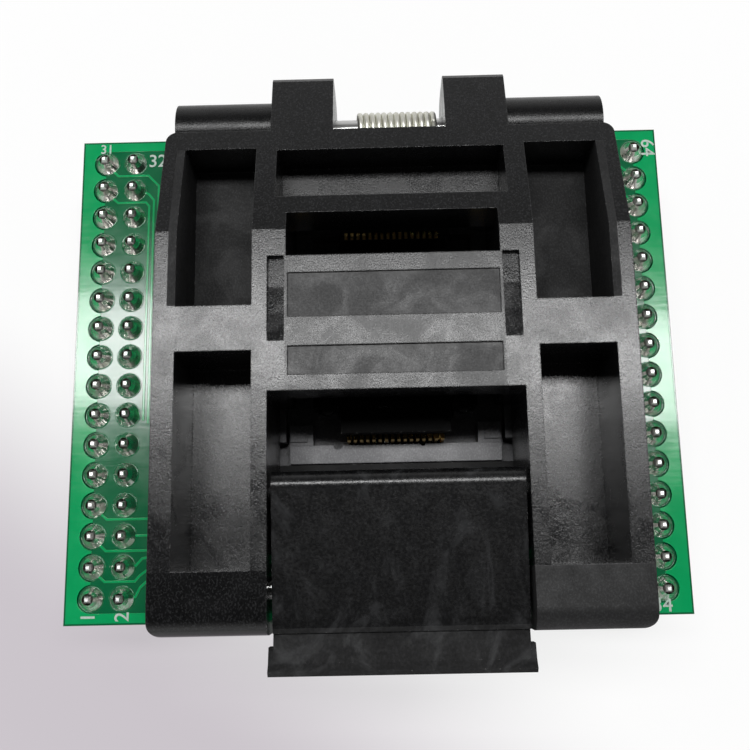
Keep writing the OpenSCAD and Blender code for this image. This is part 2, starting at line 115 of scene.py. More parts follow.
class Signal:
    """A number that varies over a surface. Arithmetic on it adds Math nodes."""

    def __init__(self, graph: "Nodes", socket: bpy.types.NodeSocket) -> None:
        """Wraps one float socket of a graph."""
        self.graph = graph
        self.socket = socket

    def _with(self, operation: str, first: Any, second: Any = 0.0) -> "Signal":
        """Adds one Math node.

        Args:
            operation: The Math node's operation.
            first: A number or a signal.
            second: A number or a signal.

        Returns:
            The node's result.
        """
        node = self.graph.node("ShaderNodeMath", {"operation": operation}, {0: first, 1: second})
        return Signal(self.graph, node.outputs[0])

    def __add__(self, other: Any) -> "Signal":
        """self + other."""
        return self._with("ADD", self, other)

    def __radd__(self, other: Any) -> "Signal":
        """other + self."""
        return self._with("ADD", other, self)

    def __sub__(self, other: Any) -> "Signal":
        """self - other."""
        return self._with("SUBTRACT", self, other)

    def __rsub__(self, other: Any) -> "Signal":
        """other - self."""
        return self._with("SUBTRACT", other, self)

    def __mul__(self, other: Any) -> "Signal":
        """self * other."""
        return self._with("MULTIPLY", self, other)

    def __rmul__(self, other: Any) -> "Signal":
        """other * self."""
        return self._with("MULTIPLY", other, self)

    def least(self, other: Any) -> "Signal":
        """The smaller of self and other."""
        return self._with("MINIMUM", self, other)

    def most(self, other: Any) -> "Signal":
        """The larger of self and other."""
        return self._with("MAXIMUM", self, other)

    def size(self) -> "Signal":
        """Self without its sign."""
        return self._with("ABSOLUTE", self)

    def fade(self, low: float, high: float) -> "Signal":
        """Rises smoothly from 0 at low to 1 at high.

        Args:
            low: Where the rise starts.
            high: Where it ends; it may be below low, for a fall.

        Returns:
            A signal from 0 to 1.
        """
        node = self.graph.node(
            "ShaderNodeMapRange",
            {"interpolation_type": "SMOOTHSTEP", "clamp": True},
            {"Value": self, "From Min": low, "From Max": high, "To Min": 0.0, "To Max": 1.0},
        )
        return Signal(self.graph, node.outputs["Result"])


class Nodes:
    """A node tree, emptied first, and the one way in which nodes are added to it."""

    def __init__(self, tree: bpy.types.NodeTree) -> None:
        """Takes over the tree and empties it."""
        self.tree = tree
        self.tree.nodes.clear()

    def node(self, kind: str, settings: Optional[Dict[str, Any]] = None,
             feeds: Optional[Dict[Any, Any]] = None) -> bpy.types.Node:
        """Adds any node.

        Args:
            kind: The node's type.
            settings: Its own settings, set first.
            feeds: Values or links by socket name or number.

        Returns:
            The node.
        """
        made = self.tree.nodes.new(kind)
        for key, value in (settings or {}).items():
            setattr(made, key, value)
        for key, value in (feeds or {}).items():
            self.feed(made.inputs[key], value)
        return made

    def feed(self, socket: bpy.types.NodeSocket, value: Any) -> None:
        """Gives a socket what it works with.

        Args:
            socket: The input.
            value: A signal or a socket to link, or else a colour, a vector or a number.
        """
        if isinstance(value, Signal):
            self.tree.links.new(value.socket, socket)
        elif isinstance(value, bpy.types.NodeSocket):
            self.tree.links.new(value, socket)
        elif socket.type == "RGBA" and len(value) == 3:
            socket.default_value = (*value, 1.0)
        else:
            socket.default_value = value

    def camera_ray(self) -> Signal:
        """1 for what the eye sees directly, 0 for light on the object and in its gloss."""
        return Signal(self, self.node("ShaderNodeLightPath").outputs["Is Camera Ray"])

    def mixed(self, share: Signal, first: bpy.types.NodeSocket,
              second: bpy.types.NodeSocket) -> bpy.types.NodeSocket:
        """Mixes two shaders.

        Args:
            share: How much of the second shader, 0 to 1.
            first: A shader's output.
            second: A shader's output.

        Returns:
            The mixed shader's output.
        """
        return self.node("ShaderNodeMixShader", {}, {0: share, 1: first, 2: second}).outputs[0]


class Graph(Nodes):
    """The node tree of one material, with its shader and its output in place."""

    def __init__(self, name: str) -> None:
        """Starts an empty material of that name."""
        self.material = bpy.data.materials.new(name)
        self.material.use_nodes = True
        super().__init__(self.material.node_tree)
        self.shader = self.node("ShaderNodeBsdfPrincipled")
        self.output = self.node("ShaderNodeOutputMaterial", {}, {"Surface": self.shader.outputs[0]})
        self._place: Optional[bpy.types.NodeSocket] = None

    def place(self) -> bpy.types.NodeSocket:
        """The place on the surface in the frame's axes, in millimetres."""
        if self._place is None:
            where = self.node("ShaderNodeTexCoord")
            scaled = self.node("ShaderNodeVectorMath", {"operation": "SCALE"},
                               {0: where.outputs["Object"], "Scale": 1 / MM})
            self._place = scaled.outputs[0]
        return self._place

    def axis(self, letter: str) -> Signal:
        """One coordinate of the place, in millimetres."""
        split = self.node("ShaderNodeSeparateXYZ", {}, {0: self.place()})
        return Signal(self, split.outputs[letter])

    def stretched(self, x: float, y: float, z: float) -> bpy.types.NodeSocket:
        """The place, multiplied by a number of its own along each axis."""
        node = self.node("ShaderNodeVectorMath", {"operation": "MULTIPLY"},
                         {0: self.place(), 1: (x, y, z)})
        return node.outputs[0]

    def noise(self, period: float, detail: float = 2.0, rough: float = 0.5, bend: float = 0.0,
              where: Optional[bpy.types.NodeSocket] = None) -> Signal:
        """Soft noise.

        Args:
            period: About how far apart its lumps are, in millimetres.
            detail: How many finer layers it has.
            rough: How strong the finer layers are.
            bend: How much it is distorted.
            where: Other coordinates than the plain place.

        Returns:
            A signal round 0.5.
        """
        node = self.node("ShaderNodeTexNoise", {"noise_dimensions": "3D"},
                         {"Vector": where or self.place(), "Scale": 1.0 / period,
                          "Detail": detail, "Roughness": rough, "Distortion": bend})
        return Signal(self, node.outputs[0])

    def blend(self, share: Any, first: Any, second: Any) -> bpy.types.NodeSocket:
        """Mixes two colours.

        Args:
            share: How much of the second colour, 0 to 1.
            first: A colour or a colour socket.
            second: A colour or a colour socket.

        Returns:
            The mixed colour's socket.
        """
        node = self.node("ShaderNodeMix", {"data_type": "RGBA"}, {0: share, 6: first, 7: second})
        return node.outputs[2]

    def rounded(self, radius: float) -> bpy.types.NodeSocket:
        """The surface's direction with sharp edges eased over a radius in millimetres."""
        node = self.node("ShaderNodeBevel", {"samples": 4}, {"Radius": radius * MM})
        return node.outputs[0]

    def edges(self, radius: float) -> Signal:
        """Finds the edges.

        Args:
            radius: How far the edges reach over the surface, in millimetres.

        Returns:
            A signal near 1 at sharp outer and inner edges, and 0 on flat stretches.
        """
        plain = self.node("ShaderNodeNewGeometry")
        dot = self.node("ShaderNodeVectorMath", {"operation": "DOT_PRODUCT"},
                        {0: self.rounded(radius), 1: plain.outputs["Normal"]})
        return (1.0 - Signal(self, dot.outputs["Value"])).fade(0.01, 0.2)

    def bump(self, height: Signal, depth: float, strength: float = 1.0,
             normal: Optional[bpy.types.NodeSocket] = None) -> None:
        """Lets a height signal disturb the surface.

        Args:
            height: The height, about 0 to 1.
            depth: How many millimetres a height of 1 stands for.
            strength: How much of it shows.
            normal: The direction that it starts from.
        """
        feeds = {"Height": height, "Distance": depth * MM, "Strength": strength}
        if normal is not None:
            feeds["Normal"] = normal
        self.set(Normal=self.node("ShaderNodeBump", {}, feeds).outputs[0])

    def set(self, **values: Any) -> None:
        """Feeds the shader's sockets, an underscore standing for a space."""
        for key, value in values.items():
            self.feed(self.shader.inputs[key.replace("_", " ")], value)


# ---------------------------------------------------------------- finishes


@dataclass(frozen=True)
class Cloud:
    """Soft lumps of noise, faded to a mask. Its period is in millimetres."""

    period: float
    detail: float
    rough: float
    bend: float
    rise: Pair
    stretch: Optional[Point] = None

    def over(self, g: Graph) -> Signal:
        """The mask over a material's surface, 0 to 1."""
        where = g.stretched(*self.stretch) if self.stretch else None
        return g.noise(self.period, self.detail, self.rough, self.bend, where).fade(*self.rise)


@dataclass(frozen=True)
class MouldInsert:
    """A field of the mould with its own polish, the same left and right of its middle.

    Lengths are millimetres in the frame, but across is taken from the middle without its sign.
    """

    part: str
    middle: float
    across: Pair
    along: Pair
    rougher: float
    blur: float = 0.05

    def cover(self, g: Graph) -> Signal:
        """1 inside the field and 0 outside it."""
        x = (g.axis("X") - self.middle).size()
        y = g.axis("Y")
        b = self.blur
        return (x.fade(self.across[0] - b, self.across[0] + b)
                * x.fade(self.across[1] + b, self.across[1] - b)
                * y.fade(self.along[0] - b, self.along[0] + b)
                * y.fade(self.along[1] + b, self.along[1] - b))


@dataclass(frozen=True)
class MouldedPlastic:
    """Black glass filled plastic: sparkling grain, cloudy mottling, fibre specks, worn edges.

    The grain, its depth and the edge radius are in millimetres.
    """

    name: str
    colour: Colour = (0.0030, 0.0030, 0.0033)
    pale: Colour = (0.050, 0.051, 0.053)
    roughness: float = 0.18
    grain: float = 0.12
    grain_depth: float = 0.012
    mottling: float = 0.5
    specks: float = 0.5
    swirls: float = 0.0
    edge_wear: float = 0.35
    nicks: float = 0.5
    nick_colour: Colour = (0.50, 0.50, 0.49)
    edge_radius: float = 0.10
    shine: float = 0.5
    inserts: Tuple[MouldInsert, ...] = ()

    MOTTLE = Cloud(3.4, 4.0, 0.62, 0.8, (0.36, 0.68))
    PATCHES = Cloud(9.0, 3.0, 0.6, 0.5, (0.35, 0.68))
    FIBRES = Cloud(0.34, 3.0, 0.7, 0.3, (0.60, 0.80), (1.0, 0.5, 1.0))
    SWIRLS = Cloud(4.8, 5.0, 0.60, 2.6, (0.46, 0.74), (1.0, 0.6, 1.0))
    WEAR = Cloud(0.7, 3.0, 0.65, 0.0, (0.35, 0.70))
    NICKS = Cloud(0.30, 2.0, 0.6, 0.0, (0.60, 0.68))
    FLECK_STRETCH = (1.0, 0.7, 1.0)
    MOTTLE_PALE, FLECK_PALE, FIBRE_PALE, SWIRL_PALE = 0.10, 0.42, 0.30, 0.85
    MOTTLE_GLOSS, PATCH_GLOSS, SWIRL_GLOSS, GRAIN_SPREAD = 0.12, 0.05, 0.09, 0.30
    SMOOTHEST = 0.10

    def tone(self, g: Graph, mottle: Signal, swirl: Signal) -> bpy.types.NodeSocket:
        """The colour.

        Args:
            g: The material's graph.
            mottle: Where the surface is cloudy.
            swirl: Where it has flow marks.

        Returns:
            The colour's socket.
        """
        flecks = Cloud(self.grain * 1.1, 1.0, 0.6, 0.0, (0.44, 0.72), self.FLECK_STRETCH).over(g)
        fibres = self.FIBRES.over(g)
        rim = g.edges(self.edge_radius)
        worn = rim * self.WEAR.over(g)
        nick = rim * self.NICKS.over(g)
        pale = (mottle * (self.MOTTLE_PALE * self.mottling) + flecks * (self.FLECK_PALE * self.specks)
                + fibres * (self.FIBRE_PALE * self.specks) + swirl * (self.SWIRL_PALE * self.swirls)
                + worn * self.edge_wear)
        skin = g.blend(pale.least(1.0), self.colour, self.pale)
        return g.blend((nick * self.nicks).least(1.0), skin, self.nick_colour)

    def polish(self, g: Graph, mottle: Signal, swirl: Signal, fine: Signal) -> Signal:
        """The roughness.

        Args:
            g: The material's graph.
            mottle: Where the surface is cloudy.
            swirl: Where it has flow marks.
            fine: The grain.

        Returns:
            The roughness, with the fields of the mould.
        """
        patches = self.PATCHES.over(g)
        rough = (self.roughness + (0.5 - mottle) * (self.MOTTLE_GLOSS * self.mottling)
                 + (fine - 0.5) * self.GRAIN_SPREAD
                 + (0.5 - patches) * (self.PATCH_GLOSS * self.mottling)
                 - swirl * (self.SWIRL_GLOSS * self.swirls))
        for insert in self.inserts:
            rough = rough + insert.cover(g) * insert.rougher
        return rough.most(self.SMOOTHEST)

    def build(self) -> bpy.types.Material:
        """Returns the material."""
        g = Graph(self.name)
        mottle = self.MOTTLE.over(g)
        swirl = self.SWIRLS.over(g)
        fine = g.noise(self.grain, 2.0, 0.75)
        coarse = g.noise(self.grain * 3.1, 2.0, 0.5)
        g.set(Base_Color=self.tone(g, mottle, swirl), Roughness=self.polish(g, mottle, swirl, fine),
              Specular_IOR_Level=self.shine)
        g.bump(fine * 0.9 + coarse * 0.3, self.grain_depth, 0.9, g.rounded(self.edge_radius))
        return g.material


@dataclass(frozen=True)
class SolderMask:
    """Green mask over copper: glossy, a little cloudy, paler where copper lies under it."""

    name: str
    bare: Colour = (0.0, 0.165, 0.058)
    copper: Colour = (0.0, 0.460, 0.140)
    over_copper: bool = False
    edge_colour: Colour = (0.20, 0.32, 0.12)

    DARKER = 0.84
    EDGE_DARKER = 0.55
    CLOUDS = Cloud(2.6, 3.0, 0.55, 0.0, (0.3, 0.75))

    def build(self) -> bpy.types.Material:
        """Returns the material, with the bare glass fibre of a cut edge on upright faces."""
        g = Graph(self.name)
        cloud = self.CLOUDS.over(g)
        weave_x = g.noise(0.7, 1.0, 0.5, 0.0, g.stretched(0.2, 2.2, 1.0))
        weave_y = g.noise(0.7, 1.0, 0.5, 0.0, g.stretched(2.2, 0.2, 1.0))
        tone = self.copper if self.over_copper else self.bare
        dark = tuple(c * self.DARKER for c in tone)
        colour = g.blend((cloud * 0.6 + weave_x * 0.2 + weave_y * 0.2).least(1.0), dark, tone)
        facing = g.node("ShaderNodeNewGeometry").outputs["Normal"]
        up = Signal(g, g.node("ShaderNodeSeparateXYZ", {}, {0: facing}).outputs["Z"])
        side = 1.0 - up.size().fade(0.3, 0.7)
        fibres = g.noise(0.35, 3.0, 0.6, 0.0, g.stretched(0.4, 0.4, 4.0))
        rim = g.blend(fibres, self.edge_colour, tuple(c * self.EDGE_DARKER for c in self.edge_colour))
        g.set(Base_Color=g.blend(side, colour, rim), Roughness=side * 0.4 + 0.13 + cloud * 0.05,
              Specular_IOR_Level=0.5, Coat_Weight=0.35, Coat_Roughness=0.06)
        g.bump(weave_x * 0.5 + weave_y * 0.5 + cloud * 0.6, 0.012, 0.5, g.rounded(0.06))
        return g.material


@dataclass(frozen=True)
class Metal:
    """A plated, drawn, ground or soldered metal. Period and depth are in millimetres."""

    name: str
    colour: Colour
    dull: Colour
    roughness: float = 0.22
    spread: float = 0.18
    period: float = 0.8
    stretch: Point = (1.0, 1.0, 1.0)
    depth: float = 0.006
    tarnish: float = 0.5

    SMOOTHEST = 0.06

    def build(self) -> bpy.types.Material:
        """Returns the material."""
        g = Graph(self.name)
        stain = Cloud(self.period, 4.0, 0.6, 0.5, (0.38, 0.72), self.stretch).over(g)
        fine = g.noise(self.period * 0.18, 3.0, 0.6, 0.0, g.stretched(*self.stretch))
        rough = self.roughness + stain * self.spread + (fine - 0.5) * 0.1
        g.set(Base_Color=g.blend(stain * self.tarnish, self.colour, self.dull), Metallic=1.0,
              Roughness=rough.most(self.SMOOTHEST))
        g.bump(fine * 0.6 + stain * 0.5, self.depth, 0.7)
        return g.material


@dataclass(frozen=True)
class TinnedPin:
    """Gold plated pins whose cut ends were wetted by solder, from a height in millimetres."""

    name: str
    wet_from: float
    gold: Colour = (0.84, 0.58, 0.20)
    worn_gold: Colour = (0.55, 0.36, 0.12)
    tin: Colour = (0.95, 0.95, 0.94)
    dull_tin: Colour = (0.55, 0.54, 0.50)
    creep_height: float = 0.3

    def build(self) -> bpy.types.Material:
        """Returns the material."""
        g = Graph(self.name)
        stain = Cloud(0.5, 3.0, 0.6, 0.0, (0.40, 0.75)).over(g)
        height = g.axis("Z") + (g.noise(0.7, 2.0) - 0.5) * 0.9
        creep = height.fade(self.wet_from, self.wet_from + self.creep_height)
        gold = g.blend(stain * 0.3, self.gold, self.worn_gold)
        tin = g.blend(stain * 0.35, self.tin, self.dull_tin)
        g.set(Base_Color=g.blend(creep, gold, tin), Metallic=1.0, Roughness=stain * 0.12 + 0.34)
        g.bump(g.noise(0.16, 3.0, 0.6) + creep * 0.4, 0.010, 0.7)
        return g.material


@dataclass(frozen=True)
class Ink:
    """White board print, thin at its edges and slightly broken."""

    name: str
    colour: Colour = (0.62, 0.72, 0.66)
    thin_colour: Colour = (0.25, 0.52, 0.36)

    def build(self) -> bpy.types.Material:
        """Returns the material."""
        g = Graph(self.name)
        thin = Cloud(0.22, 3.0, 0.6, 0.0, (0.42, 0.64)).over(g)
        g.set(Base_Color=g.blend(thin * 0.4, self.colour, self.thin_colour), Roughness=0.55)
        g.bump(g.noise(0.12, 2.0), 0.006)
        return g.material


@dataclass(frozen=True)
class Paper:
    """The pale floor: white to the eye, keeping the shadow, with a painted shadow greying it in a band at
    the front left.
    """

    name: str = "floor_paper"
    white: Colour = (0.985, 0.985, 0.985)
    shadow_grey: Colour = (0.60, 0.56, 0.60)
    fibre_colour: Colour = (0.5, 0.5, 0.52)
    slant: float = 0.7
    near_rise: Pair = (-15.0, -44.0)
    far_fall: Pair = (-120.0, -52.0)
    glow: float = 0.75
    glow_strength: float = 1.09

    def build(self) -> bpy.types.Material:
        """Returns the material, which glows to the eye and not onto the object."""
        g = Graph(self.name)
        fibre = g.noise(1.4, 3.0, 0.5)
        # Painted shadow: the floor greys in a band at the front left, in its colour and in its glow.
        away = g.axis("Y") + g.axis("X") * self.slant
        front = away.fade(*self.near_rise) * away.fade(*self.far_fall)
        tone = g.blend(front, self.white, self.shadow_grey)
        g.set(Base_Color=g.blend(fibre * 0.05, tone, self.fibre_colour), Roughness=0.85,
              Specular_IOR_Level=0.1)
        g.bump(fibre, 0.01, 0.2)
        light = g.node("ShaderNodeEmission", {}, {"Color": tone, "Strength": self.glow_strength})
        g.feed(g.output.inputs["Surface"],
               g.mixed(g.camera_ray() * self.glow, g.shader.outputs[0], light.outputs[0]))
        return g.material


class Finishes:
    """Every material of the object, built once."""

    def __init__(self) -> None:
        """Builds them all."""
        self.lid = MouldedPlastic("lid_moulding", specks=0.8, mottling=1.0,
                                  inserts=self.lid_inserts()).build()
        self.latch = MouldedPlastic("latch_moulding", roughness=0.25, swirls=0.8, specks=0.35,
                                    mottling=0.6, grain=0.2, inserts=self.latch_inserts()).build()
        self.base = MouldedPlastic("base_moulding", roughness=0.26, specks=0.2, shine=0.35,
                                   inserts=self.base_inserts()).build()
        self.block = MouldedPlastic("block_moulding", roughness=0.36, specks=0.9, mottling=0.8,
                                    colour=(0.110, 0.110, 0.118), pale=(0.27, 0.27, 0.28)).build()
        # The pusher's moulding is darker than the other black mouldings: painted shade, for where it lies
        # in the shade of the label block.
        self.pusher = MouldedPlastic("pusher_shaded_moulding", roughness=0.60, specks=0.05, shine=0.06,
                                     colour=(0.0015, 0.0015, 0.0015), mottling=0.2).build()
        self.header = MouldedPlastic("header_moulding", roughness=0.45, specks=0.3).build()
        self.mask = SolderMask("green_mask").build()
        self.track = SolderMask("green_mask_over_copper", over_copper=True).build()
        self.gold = Metal("gold_plating", colour=(0.95, 0.68, 0.26), dull=(0.66, 0.44, 0.15),
                          roughness=0.26, spread=0.12, period=1.2, depth=0.003,
                          tarnish=0.4).build()
        self.solder = Metal("solder_skin", colour=(0.93, 0.92, 0.89), dull=(0.46, 0.43, 0.37),
                            roughness=0.20, spread=0.18, period=1.1, depth=0.012,
                            tarnish=0.7).build()
        self.steel = Metal("ground_steel", colour=(0.74, 0.74, 0.73), dull=(0.50, 0.50, 0.49),
                           roughness=0.18, spread=0.10, period=1.5, stretch=(0.3, 3.0, 3.0),
                           depth=0.004, tarnish=0.4).build()
        self.wire = Metal("spring_wire", colour=(0.86, 0.86, 0.78), dull=(0.62, 0.60, 0.52),
                          roughness=0.42, spread=0.12, period=0.9, depth=0.004,
                          tarnish=0.5).build()
        above_board = 0.4
        self.pins = TinnedPin("tinned_gold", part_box("circuit_board")[1].z / MM + above_board).build()
        self.ink = Ink("white_print").build()

    @staticmethod
    def latch_inserts() -> Tuple[MouldInsert, ...]:
        """The matt field of the latch, in front of the finger plate."""
        low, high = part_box("latch")
        return (MouldInsert("lip", (low.x + high.x) / 2 / MM, (-1.0, 20.0),
                            (low.y / MM - 1.0, low.y / MM + 3.2), 0.56),)

    @staticmethod
    def base_inserts() -> Tuple[MouldInsert, ...]:
        """The matt field of the base, in front of the hinge barrels."""
        low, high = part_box("socket_base")
        return (MouldInsert("frame", (low.x + high.x) / 2 / MM, (-1.0, 20.0),
                            (low.y / MM - 1.0, high.y / MM - 5.0), 0.40),)

    @staticmethod
    def lid_inserts() -> Tuple[MouldInsert, ...]:
        """The fields of the lid's mould, placed from the middle of the package seat."""
        low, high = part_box("package_seat")
        x = (low.x + high.x) / 2 / MM
        y = (low.y + high.y) / 2 / MM
        wing = 13.3
        return (
            MouldInsert("label block", x, (-1.0, 7.9), (y - 6.2, y + 3.8), 0.08),
            MouldInsert("rear panel", x, (-1.0, 7.7), (y - 0.83, y + 2.47), 0.17),
            MouldInsert("front panel", x, (-1.0, 7.7), (y - 5.08, y - 2.98), 0.14),
            MouldInsert("rear pockets", x, (10.3, 16.4), (y + 0.15, y + 13.2), 0.50),
            MouldInsert("left nose", x - wing, (-1.0, 4.6), (y - 23.5, y - 18.7), -0.12),
            MouldInsert("right nose", x + wing, (-1.0, 4.6), (y - 23.5, y - 18.7), 0.40),
            MouldInsert("rear middle pocket", x, (-1.0, 8.8), (y + 8.7, y + 13.0), 0.06),
            MouldInsert("bars between pockets", x, (10.3, 16.4), (y - 3.2, y + 0.1), -0.01),
        )


# ---------------------------------------------------------------- mesh helpers


def finish_piece(obj: bpy.types.Object, material: bpy.types.Material, body: Optional[Body],
                 smooth: bool = False) -> bpy.types.Object:
    """Dresses a new piece and lets it ride.

    Args:
        obj: The piece, in place.
        material: Its finish.
        body: The body that it moves with, or None for a piece that rides on no body.
        smooth: Whether its faces are shaded smooth.

    Returns:
        The piece.
    """
    obj.data.materials.clear()
    obj.data.materials.append(material)
    if smooth:
        for face in obj.data.polygons:
            face.use_smooth = True
    if body is not None:
        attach(obj, body.value)
    LOG.info("%s: %d faces, %s", obj.name, len(obj.data.polygons), material.name)
    return obj


def piece_from(name: str, mesh: bmesh.types.BMesh) -> bpy.types.Object:
    """Turns a finished bmesh into an object of the scene.

    Args:
        name: The object's name.
        mesh: Its mesh, which is used up.

    Returns:
        The object.
    """
    data = bpy.data.meshes.new(name)
    mesh.normal_update()
    mesh.to_mesh(data)
    mesh.free()
    obj = bpy.data.objects.new(name, data)
    bpy.context.scene.collection.objects.link(obj)
    return obj


def add_prism(mesh: bmesh.types.BMesh, outline: Sequence[Pair], low: float, high: float) -> None:
    """Adds an upright prism.

    Args:
        mesh: The mesh that it goes into.
        outline: Its outline seen from above, anticlockwise.
        low: Height of its underside.
        high: Height of its top.
    """
    bottom = [mesh.verts.new((x, y, low)) for x, y in outline]
    top = [mesh.verts.new((x, y, high)) for x, y in outline]
    mesh.faces.new(list(reversed(bottom)))
    mesh.faces.new(top)
    count = len(outline)
    for i in range(count):
        k = (i + 1) % count
        mesh.faces.new((bottom[i], bottom[k], top[k], top[i]))


def add_ribbon(mesh: bmesh.types.BMesh, path: Sequence[Pair], width: float, low: float,
               high: float) -> None:
    """Adds a flat track along a path, its top edges eased.

    Args:
        mesh: The mesh that it goes into.
        path: The points of its middle line.
        width: Its width.
        low: Height of its underside.
        high: Height of its top.
    """
    top_share = 0.72
    rings: List[List[bmesh.types.BMVert]] = []
    for i, (x, y) in enumerate(path):
        before = Vector(path[max(i - 1, 0)])
        after = Vector(path[min(i + 1, len(path) - 1)])
        here = Vector((x, y))
        a = (here - before).normalized() if i else (after - here).normalized()
        b = (after - here).normalized() if i < len(path) - 1 else a
        along = (a + b).normalized()
        across = Vector((-along.y, along.x)) * (width / 2 / max(along.dot(a), 0.5))
        inner = across * top_share
        ring = [(here - across, low), (here - inner, high), (here + inner, high), (here + across, low)]
        rings.append([mesh.verts.new((p.x, p.y, z)) for p, z in ring])
    for first, second in zip(rings, rings[1:]):
        for j in range(4):
            k = (j + 1) % 4
            mesh.faces.new((first[j], first[k], second[k], second[j]))
    mesh.faces.new(list(reversed(rings[0])))
    mesh.faces.new(rings[-1])
    bmesh.ops.recalc_face_normals(mesh, faces=mesh.faces[:])


def add_ring(mesh: bmesh.types.BMesh, x: float, y: float, profile: Sequence[Pair],
             sides: int = 28, wobble: float = 0.0) -> None:
    """Adds a closed ring turned about an upright line.

    Args:
        mesh: The mesh that it goes into.
        x: Place of the line.
        y: Place of the line.
        profile: Radius and height of each corner of its section.
        sides: How many faces it has round about.
        wobble: How far its radius wanders, as a share.
    """
    x_phase, y_phase = x * 9000, y * 7000
    rows = []
    for i in range(sides):
        a = 2 * math.pi * i / sides
        swell = 1 + wobble * math.sin(3 * a + x_phase) * math.sin(a + y_phase)
        rows.append([mesh.verts.new((x + r * swell * math.cos(a), y + r * swell * math.sin(a), z))
                     for r, z in profile])
    count = len(profile)
    for i in range(sides):
        n = (i + 1) % sides
        for j in range(count):
            k = (j + 1) % count
            mesh.faces.new((rows[i][j], rows[n][j], rows[n][k], rows[i][k]))
    bmesh.ops.recalc_face_normals(mesh, faces=mesh.faces[:])


def add_tube(mesh: bmesh.types.BMesh, path: Sequence[Vector], radius: float, sides: int = 12) -> None:
    """Adds a round wire along a path.

    Args:
        mesh: The mesh that it goes into.
        path: The points of its middle line.
        radius: Its radius.
        sides: How many faces it has round about.
    """
    rings = []
    side = Vector((1, 0, 0))
    for i, here in enumerate(path):
        along = (path[min(i + 1, len(path) - 1)] - path[max(i - 1, 0)]).normalized()
        side = side - along * side.dot(along)
        side = side.normalized() if side.length > 1e-6 else along.orthogonal().normalized()
        other = along.cross(side)
        rings.append([mesh.verts.new(here + (side * math.cos(t) + other * math.sin(t)) * radius)
                      for t in (2 * math.pi * j / sides for j in range(sides))])
    for first, second in zip(rings, rings[1:]):
        for j in range(sides):
            k = (j + 1) % sides
            mesh.faces.new((first[j], first[k], second[k], second[j]))
    mesh.faces.new(list(reversed(rings[0])))
    mesh.faces.new(rings[-1])
    bmesh.ops.recalc_face_normals(mesh, faces=mesh.faces[:])


# ---------------------------------------------------------------- the carried-over solids


@dataclass
class SolidParts:
    """The solids of the frame, each with its finish."""

    nodes: Dict[str, bpy.types.Object]
    finishes: Finishes

    def dress(self) -> None:
        """Gives every solid its material."""
        f = self.finishes
        plan = {
            "circuit_board": f.mask, "header_body_left": f.header, "header_body_right": f.header,
            "header_pins_left": f.pins, "header_pins_right": f.pins, "solder_left": f.solder,
            "solder_right": f.solder, "contact_solder": f.solder, "socket_base": f.base,
            "contact_block": f.block, "package_seat": f.pusher, "contacts_front": f.gold,
            "contacts_rear": f.gold, "contacts_left": f.gold, "contacts_right": f.gold,
            "hinge_shaft": f.steel, "lid_spring": f.wire, "lid": f.lid,
            "pressure_plate": f.pusher, "pusher_shaft": f.steel, "pusher_springs": f.wire,
            "latch": f.latch, "latch_shaft": f.steel, "latch_springs": f.wire,
        }
        for name, material in plan.items():
            data = self.nodes[name].data
            data.materials.clear()
            data.materials.append(material)
            LOG.info("%s dressed in %s", name, material.name)


# ---------------------------------------------------------------- the board


@dataclass(frozen=True)
class Route:
    """One track: the pin that it starts at and its steps from there.

    Steps are in pin pitches, the first number towards the socket and the second to the rear.
    """

    inner: bool
    row: int
    steps: Tuple[Pair, ...]


ROUTES = (
    Route(False, 15, ((0.24, -0.30), (0.40, -0.46), (1.46, -0.46), (1.84, -0.86), (1.84, -9.4))),
    Route(True, 14, ((0.30, -0.06), (0.50, -0.16), (0.68, -0.38), (0.68, -8.3))),
    Route(False, 14, ((0.24, -0.30), (0.42, -0.46), (1.40, -0.46), (1.52, -0.60), (1.52, -8.2))),
    Route(False, 3, ((0.24, -0.30), (0.42, -0.46), (2.30, -0.46))),
    Route(True, 2, ((0.30, 0.0), (1.30, 0.0))),
    Route(False, 2, ((0.24, -0.30), (0.42, -0.48), (2.30, -0.48))),
    Route(True, 1, ((0.30, 0.03), (0.42, 0.04), (0.62, 0.26), (1.00, 0.34))),
    Route(False, 1, ((0.24, -0.30), (0.42, -0.46), (1.40, -0.46), (1.56, -0.28), (1.80, -0.10))),
    Route(True, 0, ((0.30, 0.0), (0.44, 0.06), (0.58, 0.34), (0.86, 0.60))),
)


@dataclass(frozen=True)
class PinNumber:
    """One printed number: the pin that it belongs to and how it stands beside it.

    The shift is in millimetres, the turn in degrees anticlockwise, the share is of the usual size.
    """

    text: str
    side: int
    inner: bool
    rear: bool
    shift: Pair
    turn: float = 0.0
    share: float = 1.0


NUMBERS = (
    PinNumber("1", -1, False, False, (-0.15, -1.45), 90.0),
    PinNumber("2", -1, True, False, (0.10, -1.45), 90.0),
    PinNumber("31", -1, False, True, (-0.10, 1.392), 0.0, 0.72),
    PinNumber("32", -1, True, True, (1.972, 0.15)),
    PinNumber("34", 1, False, False, (-0.30, -1.35)),
    PinNumber("33", 1, True, False, (0.0, -1.45)),
    PinNumber("64", 1, False, True, (1.45, 0.35), -90.0),
    PinNumber("63", 1, True, True, (0.0, 1.392), 0.0, 0.72),
)


